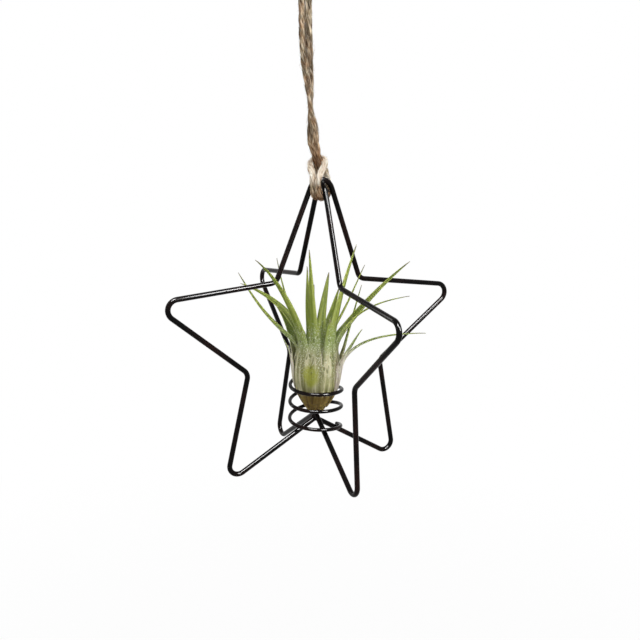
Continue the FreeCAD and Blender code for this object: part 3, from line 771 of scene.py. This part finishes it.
LOOP_ROUTE = [
    (-0.0118, 0.0000, 0.2165),
    (-0.0124, 0.0000, 0.2205),
    (-0.0150, 0.0002, 0.2265),
    (-0.0158, 0.0003, 0.2340),
    (-0.0154, 0.0002, 0.2405),
    (-0.0130, 0.0000, 0.24355),
    (-0.0070, 0.0000, 0.24355),
    (-0.0046, -0.0002, 0.2405),
    (-0.0042, -0.0003, 0.2340),
    (-0.0050, -0.0002, 0.2265),
    (-0.0076, 0.0000, 0.2205),
    (-0.0082, 0.0000, 0.2165),
]


def smooth_line(name, route):
    """The points of a smooth curve that has a route as its control points."""
    curve = bpy.data.curves.new(name + "_line", "CURVE")
    curve.dimensions = "3D"
    curve.resolution_u = 12
    spline = curve.splines.new("NURBS")
    spline.points.add(len(route) - 1)
    for point, place in zip(spline.points, route):
        point.co = (*(STAR_AXIS + Vector(place)), 1.0)
    spline.order_u = 3
    spline.use_endpoint_u = True
    holder = bpy.data.objects.new(name + "_line", curve)
    mesh = bpy.data.meshes.new_from_object(holder)
    line = [vertex.co.copy() for vertex in mesh.vertices]
    bpy.data.meshes.remove(mesh)
    bpy.data.objects.remove(holder)
    bpy.data.curves.remove(curve)
    return line


def even_line(line, step):
    """The same line with its points about a step apart, and its length."""
    lengths = [(after - before).length for before, after in zip(line, line[1:])]
    total = sum(lengths)
    count = max(2, round(total / step))
    result = []
    index = 0
    passed = 0.0
    for i in range(count + 1):
        goal = total * i / count
        while index < len(lengths) - 1 and passed + lengths[index] < goal:
            passed += lengths[index]
            index += 1
        share = (goal - passed) / lengths[index]
        result.append(line[index].lerp(line[index + 1], min(share, 1.0)))
    return result, total


def pinch(point):
    """How much of its thickness a cord keeps: less where the two strands are wrung tightest."""
    return 1.0 - PINCH_SHARE * exp(-(((point.z - PINCH_HEIGHT) / PINCH_REACH) ** 2))


def spun_cord(form, line, seed, light_and_red=None):
    """Three uneven plies twisted round a line; light_and_red gives the cord's painted light above 0, and
    its red and painted shade below 0, at a point.
    """
    fine, total = even_line(line, PLY_STEP)
    ahead, aside = carried_sides(fine)
    for ply in range(PLIES):
        path = []
        radii = []
        pale = []
        for i, point in enumerate(fine):
            distance = total * i / (len(fine) - 1)
            pale.append(light_and_red(point, min(distance, total - distance)) if light_and_red else 0.0)
            slack = 0.20 * noise.noise(Vector((seed, ply, distance * 130)))
            turn = FULL_TURN * (ply / PLIES - distance / LAY_LENGTH) + 2.0 * slack
            out = aside[i] * cos(turn) + ahead[i].cross(aside[i]) * sin(turn)
            half = CORD / 2 * pinch(point)
            path.append(point + out * half * PLY_OFFSET_SHARE * (1 + slack))
            swell = 0.10 * noise.noise(Vector((distance * 260, seed * 3.1, ply * 7.7)))
            radii.append(half * PLY_RADIUS_SHARE * (1 + swell + 0.5 * slack))
        tone = (seed * 0.31 + ply * 0.37) % 1.0
        add_tube(form, path, radii, PLY_SIDES, tone=tone, round_ends=True, blushes=pale, core=fine)


def add_fuzz(form, line, per_metre, seed, reach=FUZZ_REACH, thick=FUZZ_THICK, light_and_red=None, palest=0.35):
    """Loose fibres that lift off a cord and lie back along it."""
    chance = random.Random(seed)
    fine, total = even_line(line, FUZZ_LINE_STEP)
    ahead, aside = carried_sides(fine)
    radii = [thick * (1 - 0.75 * k / FUZZ_STEPS) for k in range(FUZZ_STEPS + 1)]
    for _ in range(int(total * per_metre)):
        length = chance.uniform(*FUZZ_LENGTH)
        start = chance.uniform(0.0, total - length)
        turn = chance.uniform(0.0, FULL_TURN)
        drift = chance.uniform(-1.0, 1.0)
        lift = reach * chance.random() ** 2.2
        way = chance.choice((-1, 1))
        hook = chance.uniform(0.2, 0.6)
        path = []
        for k in range(FUZZ_STEPS + 1):
            share = k / FUZZ_STEPS
            place = (start + length * (share if way > 0 else 1 - share)) / total * (len(fine) - 1)
            index = min(int(place), len(fine) - 2)
            center = fine[index].lerp(fine[index + 1], place - index)
            angle = turn + drift * share * share * 2.0
            out = aside[index] * cos(angle) + ahead[index].cross(aside[index]) * sin(angle)
            bed = CORD / 2 * FUZZ_BED_SHARE * pinch(center)
            hooked = hook * FUZZ_HOOK * sin(share * pi)
            path.append(center + out * (bed + lift * share ** 1.4 + hooked))
        held = light_and_red(path[0], min(start, total - start)) if light_and_red else 0.0
        raised = between(held, palest, smooth_step(-0.95, -0.05, held))
        pale = [max(held, raised)] * len(path)
        # A core far away keeps the fibre out of the grooves' shade.
        far_core = [point + UP for point in path]
        add_tube(form, path, radii, FUZZ_SIDES, tone=chance.random(), blushes=pale, core=far_core)


def cord_piece(name, route, seed, body=None, light_and_red=None):
    line = smooth_line(name, route)
    form = Form()
    spun_cord(form, line, seed, light_and_red)
    add_fuzz(form, line, FUZZ_PER_METRE, seed, light_and_red=light_and_red)
    strays = FUZZ_PER_METRE * STRAY_SHARE
    add_fuzz(form, line, strays, seed + STRAY_SEED, STRAY_REACH, STRAY_THICK, light_and_red, palest=0.0)
    piece = form.build(name, JUTE)
    if body:
        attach(piece, body)
    return piece, line


# The knot's two strands, each the other's half turn, and its wrap
KNOT_STRAND = [
    (0.0015, -0.0004, -0.0052),
    (0.0011, 0.0006, 0.0),
    (0.0018, 0.0, 0.0056),
]
KNOT_WRAP_RADIUS = 0.0036
KNOT_WRAP_STEPS = 72
KNOT_WRAP_TURNS = 2.15
KNOT_WRAP_START = -1.2
KNOT_WRAP_RISE = 0.0026
KNOT_WRAP_SLANT = 0.0013


def knot_wrap():
    """Two slanted turns of strand round the knot, with their ends tucked in."""
    wrap = []
    for i in range(KNOT_WRAP_STEPS + 1):
        share = i / KNOT_WRAP_STEPS
        turn = FULL_TURN * KNOT_WRAP_TURNS * share + KNOT_WRAP_START
        tuck = 1 - 0.45 * (smooth_step(0.06, 0.0, share) + smooth_step(0.94, 1.0, share))
        slant = KNOT_WRAP_SLANT * sin(turn) * (1 if share < 0.5 else -1.2)
        radius = KNOT_WRAP_RADIUS * tuck
        height = between(-KNOT_WRAP_RISE, KNOT_WRAP_RISE, share) + slant
        wrap.append(KNOT_CENTER + Vector((radius * cos(turn), radius * sin(turn), height)))
    return wrap


def knot_piece():
    """The knot under the loop: the doubled cord with a wrap drawn tight round it."""
    form = Form()
    for side in (-1, 1):
        strand = [KNOT_CENTER + Vector((side * x, side * y, z)) for x, y, z in KNOT_STRAND]
        spun_cord(form, even_line(strand, 0.001)[0], 5 + side)
    wrap = knot_wrap()
    spun_cord(form, wrap, 9)
    add_fuzz(form, wrap, per_metre=1800, seed=21, reach=0.0006)
    piece = form.build("cord_knot", JUTE)
    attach(piece, "hanger")
    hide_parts("top_knot")
    return piece


# Heights over the notch between which the cord's colour changes: on the legs from red with painted shade to
# brown, on the hitch from painted shadow to painted light
LEG_BROWNING = (0.116, 0.156)
HITCH_SHADE_TO_LIGHT = (0.1080, 0.1175)


def leg_red_and_shade(point, from_end):
    """The legs are red with painted shade where they leave the hitch and plain brown further up."""
    return between(-1.0, 0.0, smooth_step(*LEG_BROWNING, point.z - STAR_AXIS.z))


knot = knot_piece()
for side, route, node, seed in (
    ("left", LEFT_LEG_ROUTE, "rope_leg_left", 1),
    ("right", RIGHT_LEG_ROUTE, "rope_leg_right", 2),
):
    leg, leg_line = cord_piece("cord_leg_" + side, route, seed, light_and_red=leg_red_and_shade)
    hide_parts(node)
    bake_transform(leg)

loop, loop_line = cord_piece("cord_loop", LOOP_ROUTE, 3, "hanger")
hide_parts("hang_loop")

# How far from its ends the hitch turns from the legs' colours to its own painted light and shadow
HITCH_BROWN_END = 0.015


def hitch_light_and_shade(point, from_end):
    """The hitch is pale with painted light on its ears and front, brown with painted shadow under the
    frames' tips, and like the legs next to them.
    """
    # Painted shadow in brown low on the hitch, painted light in pale above it.
    front = between(-0.85, 1.0, smooth_step(*HITCH_SHADE_TO_LIGHT, point.z - STAR_AXIS.z))
    joined = smooth_step(HITCH_BROWN_END - 0.005, HITCH_BROWN_END + 0.004, from_end)
    return between(leg_red_and_shade(point, from_end), front, joined)


hitch, hitch_line = cord_piece("cord_hitch", HITCH_ROUTE, 4, "holder", light_and_red=hitch_light_and_shade)
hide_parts("apex_hitch")


# Plant

def flank_radius(height):
    """The bulb's radius at a height over the notch."""
    if height < BELLY_HEIGHT:
        drawn_in = BULB_BELLY - BULB_FOOT
        rise = BULB_BELLY_RISE
    else:
        drawn_in = BULB_BELLY - BULB_NECK
        rise = BULB_RISE - BULB_BELLY_RISE
    flank = (drawn_in ** 2 + rise ** 2) / (2 * drawn_in)
    return BULB_BELLY - flank + sqrt(max(flank ** 2 - (height - BELLY_HEIGHT) ** 2, 0.0))


def outward(azimuth):
    return Vector((cos(azimuth), sin(azimuth), 0.0))


CORE_INSET = 0.0004
CORE_DOME = 0.0060
CORE_COLUMNS = 72
CORE_ROWS = 46
CORE_FOLD = 0.00022
CORE_CREASE = 0.00010


def core_radius(height):
    """The core's radius at a height: inside the sheaths, then a dome among the leaves."""
    if height <= NECK_HEIGHT:
        return flank_radius(height) - CORE_INSET
    return (BULB_NECK - CORE_INSET) * sqrt(max(1 - ((height - NECK_HEIGHT) / CORE_DOME) ** 2, 0.003))


def bulb_core():
    """The bulb under its sheaths: a flank with shallow folds, closed at both ends."""
    form = Form()
    rings = []
    for i in range(CORE_ROWS + 1):
        height = between(BULB_BOTTOM, NECK_HEIGHT + CORE_DOME, i / CORE_ROWS)
        radius = core_radius(height)
        ring = []
        grains = []
        for k in range(CORE_COLUMNS):
            way = outward(FULL_TURN * k / CORE_COLUMNS)
            fold = noise.noise(Vector((way.x * 2.6, way.y * 2.6, height * 40)))
            crease = noise.noise(Vector((way.x * 9.0, way.y * 9.0, height * 25)))
            here = radius + CORE_FOLD * fold + CORE_CREASE * crease
            ring.append(STAR_AXIS + way * here + UP * height)
            grains.append((way.x * here, way.y * here, height))
        rings.append(form.ring(ring, grains, 0.0, [0.0] * CORE_COLUMNS, 0.3))
    form.skin(rings)
    piece = form.build("bulb_core", BULB_SKIN)
    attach(piece, "plant")
    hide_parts("plant_bulb")


# Leaves. Each row: azimuth of the foot, azimuth of the tip, reach and height of the tip as shares of
# LEAF_SPREAD and LEAF_CROWN, arch, width share, how dry its sheath is, the sheath's half angle, and how
# dark its green is.
Leaf = namedtuple("Leaf", "foot_turn tip_turn reach height arch width dry sheath_angle tone")
OUTER_LEAF_SHARES = [
    (318, 318, 1.00, 0.56, 0.37, 0.70, 1.0, 0.24, 0.60),
    (308, 302, 0.48, 0.57, 0.05, 0.84, 0.9, 0.22, 0.70),
    (277, 267, 0.25, 0.62, 0.02, 1.25, 0.0, 0.36, 0.10),
    (163, 158, 0.30, 0.47, 0.05, 0.50, 0.8, 0.18, 0.60),
    (126, 118, 0.54, 0.66, 0.20, 1.40, 0.3, 0.45, 0.15),
    (68, 60, 0.80, 0.55, 0.35, 0.85, 0.7, 0.45, 0.50),
    (350, 341, 0.40, 0.79, 0.00, 0.55, 0.4, 0.45, 0.40),
]
MIDDLE_LEAF_SHARES = [
    (150, 150, 0.76, 0.84, -0.10, 0.95, 0.2, 0.42, 0.35),
    (191, 200, 0.79, 0.97, 0.18, 1.20, 0.1, 0.45, 0.45),
    (126, 130, 0.82, 0.75, 0.26, 1.55, 0.3, 0.45, 0.20),
    (220, 178, 0.14, 0.90, 0.00, 0.80, 0.0, 0.45, 0.00),
    (350, 345, 0.87, 0.92, 0.08, 1.50, 0.2, 0.45, 0.85),
    (322, 326, 0.83, 0.75, 0.31, 0.55, 0.3, 0.40, 0.60),
    (252, 284, 0.12, 0.87, 0.00, 1.20, 0.1, 0.45, 0.85),
    (238, 212, 0.18, 1.00, 0.00, 0.76, 0.0, 0.40, 0.00),
    (300, 343, 0.33, 1.02, 0.05, 1.75, 0.2, 0.45, 0.10),
    (50, 22, 0.31, 0.75, 0.00, 0.90, 0.1, 0.40, 0.30),
    (88, 121, 0.11, 0.90, 0.00, 0.80, 0.2, 0.45, 0.20),
]
INNER_LEAF_SHARES = [
    (140, 146, 0.39, 0.93, -0.20, 0.60, 0.0, 0.50, 0.40),
    (200, 154, 0.05, 0.79, 0.00, 0.60, 0.0, 0.50, 0.00),
    (338, 335, 0.43, 0.91, -0.02, 0.60, 0.0, 0.50, 0.50),
    (52, 60, 0.20, 0.62, 0.00, 0.70, 0.0, 0.50, 0.40),
    (275, 320, 0.16, 0.56, 0.00, 0.75, 0.0, 0.50, 0.15),
]

# Layers of leaves: the ring and height where the blades begin, the sheaths' lower edge, and how far the
# sheaths stand off the bulb's flank
Layer = namedtuple("Layer", "ring base sheath_bottom lift")
OUTER_LAYER = Layer(0.0121, 0.0265, 0.006, 0.0002)
MIDDLE_LAYER = Layer(0.0083, LEAF_FOOT, 0.008, -0.0004)
INNER_LAYER = Layer(0.0031, LEAF_FOOT, 0.028, -0.0060)
SHEATH_LAP = 0.00011
SHEATH_STEP = 0.0011
SHEATH_TUCK = 0.0008
DRY_PEEL = 0.0028
LEAF_SWAY = 0.0009
BLADE_STEPS = 34
EASE_ROUNDS = 14
KEPT_AT_FOOT = 3
KEPT_AT_TIP = 2

# Sections of a leaf
COLUMNS = 9
CHANNEL_HALF_ANGLE = 0.85
# Heights over a blade's foot between which the section opens from sheath to blade
OPENS_FROM = -0.014
OPENS_TO = 0.006
THROAT_FLARE = 0.0006
LEAST_RADIUS = 0.002
TIP_THICK_SHARE = 0.28
EDGE_THICK_SHARE = 0.10
KEEL_SHARE = 0.22
KEEL_WIDTH_SHARE = 0.16


def eased(line):
    """A line with its kinks smoothed out and its ends left in place."""
    for _ in range(EASE_ROUNDS):
        smoothed = [
            (line[i - 1] + line[i] * 2 + line[i + 1]) / 4
            for i in range(KEPT_AT_FOOT, len(line) - KEPT_AT_TIP)
        ]
        line = line[:KEPT_AT_FOOT] + smoothed + line[-KEPT_AT_TIP:]
    return line


def sheath_line(leaf, layer, way):
    """The sheath's middle line up the flank, tucked in low down and peeling off where it is dry."""
    line = []
    steps = max(6, int((layer.base - layer.sheath_bottom) / SHEATH_STEP))
    for i in range(steps):
        climbed = i / steps
        level = between(layer.sheath_bottom, layer.base, climbed)
        tucked = SHEATH_TUCK * (1 - smooth_step(0.0, 0.35, climbed))
        lift = layer.lift - tucked + DRY_PEEL * max(leaf.dry - 0.5, 0.0) * climbed ** 2
        radius = layer.ring if level > NECK_HEIGHT else flank_radius(level) + lift
        line.append(way * radius + UP * level)
    return line


def blade_line(leaf, layer, way, sway):
    """The blade's middle line, bowed from its foot to its tip."""
    foot = way * layer.ring + UP * layer.base
    tip = outward(radians(leaf.tip_turn)) * (leaf.reach * LEAF_SPREAD) + UP * (leaf.height * LEAF_CROWN)
    out = 0.5 - leaf.arch
    elbow_z = between(foot.z, tip.z, 1 - out)
    elbow = Vector((between(foot.x, tip.x, out), between(foot.y, tip.y, out), elbow_z))
    line = []
    for k in range(BLADE_STEPS + 1):
        share = k / BLADE_STEPS
        back = 1 - share
        bow = foot * back ** 2 + elbow * (2 * back * share) + tip * share ** 2
        line.append(bow + sway * sin(share * pi * 1.5) * share)
    return line


def channel(point, side, inner, half, half_angle, thick, opened):
    """A curved section's outline: each place, with how far across the leaf it lies."""
    curl = half / half_angle
    front = []
    back = []
    for k in range(COLUMNS):
        u = between(-1.0, 1.0, k / (COLUMNS - 1))
        angle = u * half_angle
        normal = -inner * cos(angle) + side * sin(angle)
        skin = point + inner * curl * (1 - cos(angle)) + side * curl * sin(angle)
        body = thick / 2 * between(EDGE_THICK_SHARE, 1.0, sqrt(max(1 - u * u, 0.0)))
        keel = KEEL_SHARE * thick * exp(-(u / KEEL_WIDTH_SHARE) ** 2) * opened
        front.append((skin + normal * (body + keel), u))
        back.append((skin - normal * body, u))
    return front + back[::-1]


def add_leaf(form, leaf, layer, seed):
    """A leaf with its sheath, lofted as curved sections from the bulb's flank to the tip."""
    chance = random.Random(seed)
    sway = Vector((chance.uniform(-1, 1), chance.uniform(-1, 1), 0.0)) * LEAF_SWAY
    foot_azimuth = radians(leaf.foot_turn)
    mid_azimuth = (foot_azimuth + radians(leaf.tip_turn)) / 2
    way = outward(foot_azimuth)
    sheath = sheath_line(leaf, layer, way)
    line = eased(sheath + blade_line(leaf, layer, way, sway))
    rings = []
    travelled = 0.0
    for i, (point, ahead) in enumerate(zip(line, headings(line))):
        if i:
            travelled += (point - line[i - 1]).length
        share = (i - len(sheath)) / BLADE_STEPS
        side = UP.cross(outward(between(foot_azimuth, mid_azimuth, smooth_step(0.0, 0.35, share))))
        side = (side - ahead * side.dot(ahead)).normalized()
        radius = max(hypot(point.x, point.y), LEAST_RADIUS)
        blade_half = LEAF_TIP_HALF_WIDTH + LEAF_HALF_WIDTH * leaf.width * max(1 - share, 0.0) ** 0.72
        opened = 1.0
        if share < 0.5:
            opened = smooth_step(layer.base + OPENS_FROM, layer.base + OPENS_TO, point.z)
        half = between(radius * leaf.sheath_angle, blade_half, opened)
        if share < 0.5:
            half += THROAT_FLARE * (1 - smooth_step(0.0, 0.25, share)) * opened
        half_angle = between(half / radius, CHANNEL_HALF_ANGLE, opened)
        taper = between(1.0, TIP_THICK_SHARE, max(share, 0.0) ** 0.8)
        thick = between(SHEATH_THICK, LEAF_THICK, opened) * taper
        section = channel(point, side, ahead.cross(side), half, half_angle, thick, opened)
        points = [STAR_AXIS + place for place, _ in section]
        grains = [
            (u * half + seed * 0.013, 0.0004 * (1 if n < COLUMNS else -1), travelled)
            for n, (_, u) in enumerate(section)
        ]
        across = [u for _, u in section]
        rings.append(form.ring(points, grains, max(share, 0.0), across, leaf.tone, leaf.dry))
    form.skin(rings)


def leaf_piece(name, node, rows, layer, seed):
    """A layer of leaves, each sheath lapped over its neighbours'."""
    form = Form()
    for number, row in enumerate(rows):
        lapped = layer._replace(lift=layer.lift + SHEATH_LAP * (number * 5 % len(rows)))
        add_leaf(form, Leaf(*row), lapped, seed + number)
    piece = form.build(name, LEAF_SKIN)
    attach(piece, "plant")
    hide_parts(node)


bulb_core()
leaf_piece("leaves_outer", "outer_leaves", OUTER_LEAF_SHARES, OUTER_LAYER, 100)
leaf_piece("leaves_middle", "middle_leaves", MIDDLE_LEAF_SHARES, MIDDLE_LAYER, 200)
leaf_piece("leaves_inner", "inner_leaves", INNER_LEAF_SHARES, INNER_LAYER, 300)


# Camera, lamps and ground

def picture_camera():
    """The camera at the picture's angle; gives the picture's right and the level way into it."""
    level = Vector((sin(-VIEW_AZIMUTH), cos(VIEW_AZIMUTH), 0.0))
    forward = level * cos(VIEW_DOWN) - UP * sin(VIEW_DOWN)
    right = level.cross(UP).normalized()
    above = right.cross(forward)
    place = STAR_AXIS - forward * VIEW_DISTANCE + right * VIEW_SIDE + UP * VIEW_AIM
    rolled_right = right * cos(VIEW_ROLL) + above * sin(VIEW_ROLL)
    rolled_up = above * cos(VIEW_ROLL) - right * sin(VIEW_ROLL)
    data = bpy.data.cameras.new("picture_camera")
    data.lens = LENS
    data.sensor_width = SENSOR
    data.clip_start = 0.01
    camera = add_object("picture_camera", data)
    turn = Matrix((rolled_right, rolled_up, -forward)).transposed().to_4x4()
    camera.matrix_world = Matrix.Translation(place) @ turn
    bpy.context.scene.camera = camera
    return right, level


# Each lamp: its place from LAMP_AIM to the picture's right, into the picture and up, its width and height,
# its power, and whether it gives gloss alone.
LAMP_AIM = STAR_AXIS + UP * 0.05
LAMPS = {
    "key_lamp": (0.53, -0.73, 0.42, 0.14, 1.05, 5.2, False),
    "overhead_lamp": (0.15, -0.30, 0.95, 0.50, 0.30, 2.2, False),
    "fill_lamp": (-0.9, -0.4, 0.3, 0.50, 0.50, 1.0, False),
    "rim_lamp": (-0.88, 0.39, 0.26, 0.10, 0.70, 2.0, False),
    "front_strip": (0.62, -0.60, 0.52, 0.34, 0.50, 105.0, True),
    "top_strip": (-0.05, -0.58, 0.81, 0.45, 0.38, 105.0, True),
}


def add_lamp(name, place, width, height, power, gloss_only):
    data = bpy.data.lights.new(name, "AREA")
    data.shape = "RECTANGLE"
    data.size = width
    data.size_y = height
    data.energy = power
    lamp = add_object(name, data)
    lamp.location = place
    lamp.rotation_euler = (LAMP_AIM - place).to_track_quat("-Z", "Y").to_euler()
    lamp.visible_diffuse = not gloss_only


view_right, view_level = picture_camera()
for name, (right, inward, up, *look) in LAMPS.items():
    add_lamp(name, LAMP_AIM + view_right * right + view_level * inward + UP * up, *look)


WHITE = (1.0, 1.0, 1.0, 1.0)
WORLD_LIGHT = 0.36
GROUND_DROP = 0.30
GROUND_COLOR = (0.86, 0.86, 0.86, 1.0)
SHADOW_FADES = (0.25, 0.75)


def mixed_shader(tree, factor, first, second, output_node):
    """Two shaders mixed into the output of a material or world."""
    mix = add_node(tree, "MixShader", Fac=factor)
    tree.links.new(first.outputs[0], mix.inputs[1])
    tree.links.new(second.outputs[0], mix.inputs[2])
    tree.links.new(mix.outputs[0], tree.nodes[output_node].inputs["Surface"])


def seen_directly(tree):
    """1 for rays that show the ground and sky themselves: the camera's, and those of gloss and glass."""
    path = add_node(tree, "LightPath")
    glossy = calc(tree, "MAXIMUM", path.outputs["Is Glossy Ray"], path.outputs["Is Transmission Ray"])
    return calc(tree, "MAXIMUM", path.outputs["Is Camera Ray"], glossy)


def plain_world():
    world = bpy.data.worlds.new("plain_world")
    world.use_nodes = True
    tree = world.node_tree
    lit = tree.nodes["Background"]
    set_inputs(tree, lit, Color=WHITE, Strength=WORLD_LIGHT)
    white = add_node(tree, "Background", Color=WHITE, Strength=1.0)
    mixed_shader(tree, seen_directly(tree), lit, white, "World Output")
    bpy.context.scene.world = world


def pale_ground():
    """A plain pale floor below the hanging object: white to the eye, with a soft shadow near the middle."""
    half = 2.0
    level = cad_box[0][2] - GROUND_DROP
    mesh = bpy.data.meshes.new("ground")
    corners = [(-half, -half, level), (half, -half, level), (half, half, level), (-half, half, level)]
    mesh.from_pydata(corners, [], [(0, 1, 2, 3)])
    ground = add_object("ground", mesh)
    material, tree, shader = new_material("pale_ground")
    set_inputs(tree, shader, Base_Color=GROUND_COLOR, Roughness=0.9, Specular_IOR_Level=0.0)
    glow = add_node(tree, "Emission", Color=WHITE, Strength=1.0)
    from_middle = vector_calc(tree, "LENGTH", stretched(tree, object_place(tree), 0.0), output="Value")
    clear = spread(tree, from_middle, *SHADOW_FADES, 0.95, 1.0)
    mixed_shader(tree, times(tree, seen_directly(tree), clear), shader, glow, "Material Output")
    mesh.materials.append(material)


plain_world()
pale_ground()
bpy.context.scene.view_settings.view_transform = "Standard"
